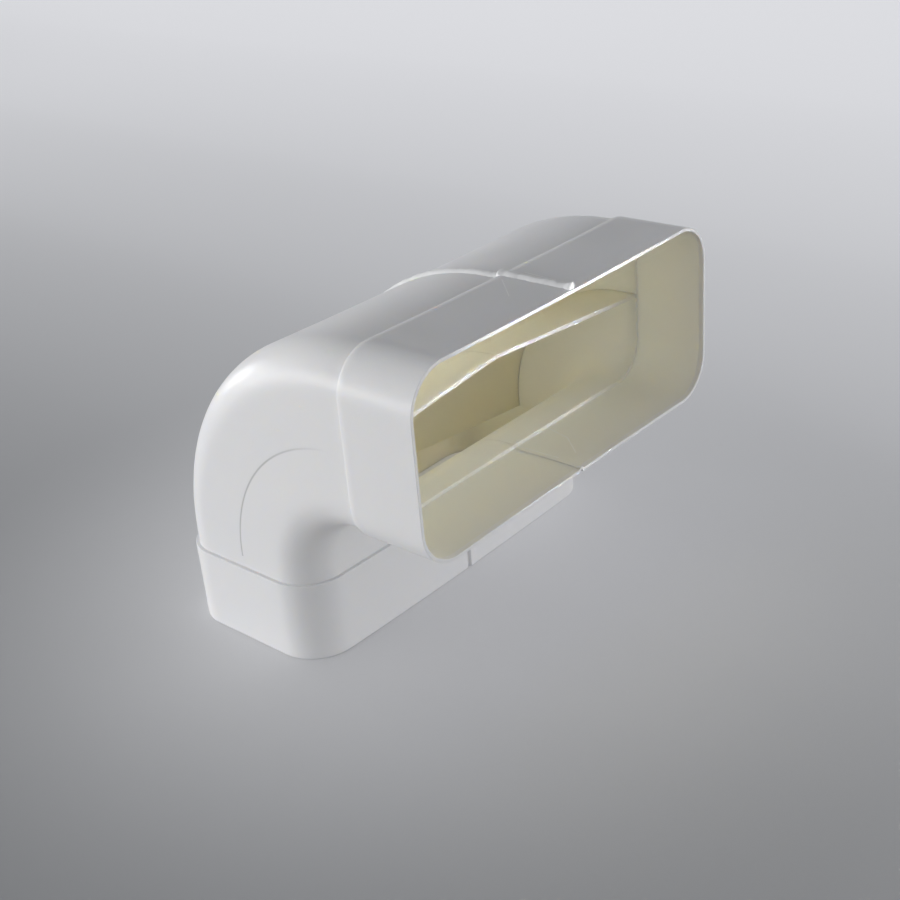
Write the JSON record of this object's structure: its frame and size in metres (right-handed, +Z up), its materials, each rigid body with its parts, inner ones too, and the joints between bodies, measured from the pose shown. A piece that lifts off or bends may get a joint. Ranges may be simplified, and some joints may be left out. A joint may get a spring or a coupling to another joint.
{
  "type": "flat duct vertical bend",
  "caption": "Right-angle vertical bend for rectangular flat duct: white moulded halves welded together, a stepped socket at each end and a curved guide vane inside.",
  "frame": {"origin": "centre of the lower socket's mouth, on the floor", "axes": "+Z up along the lower leg's axis, X across the duct's width, upper mouth facing -Y"},
  "size_m": [0.2248, 0.1747, 0.1747],
  "materials": {
    "white_plastic": "satin moulded",
    "weld_plastic": "rough, as squeezed out and set"
  },
  "bodies": {
    "root": {"left_half": "white_plastic", "right_half": "white_plastic", "weld_bead": "weld_plastic"}
  },
  "joints": []
}
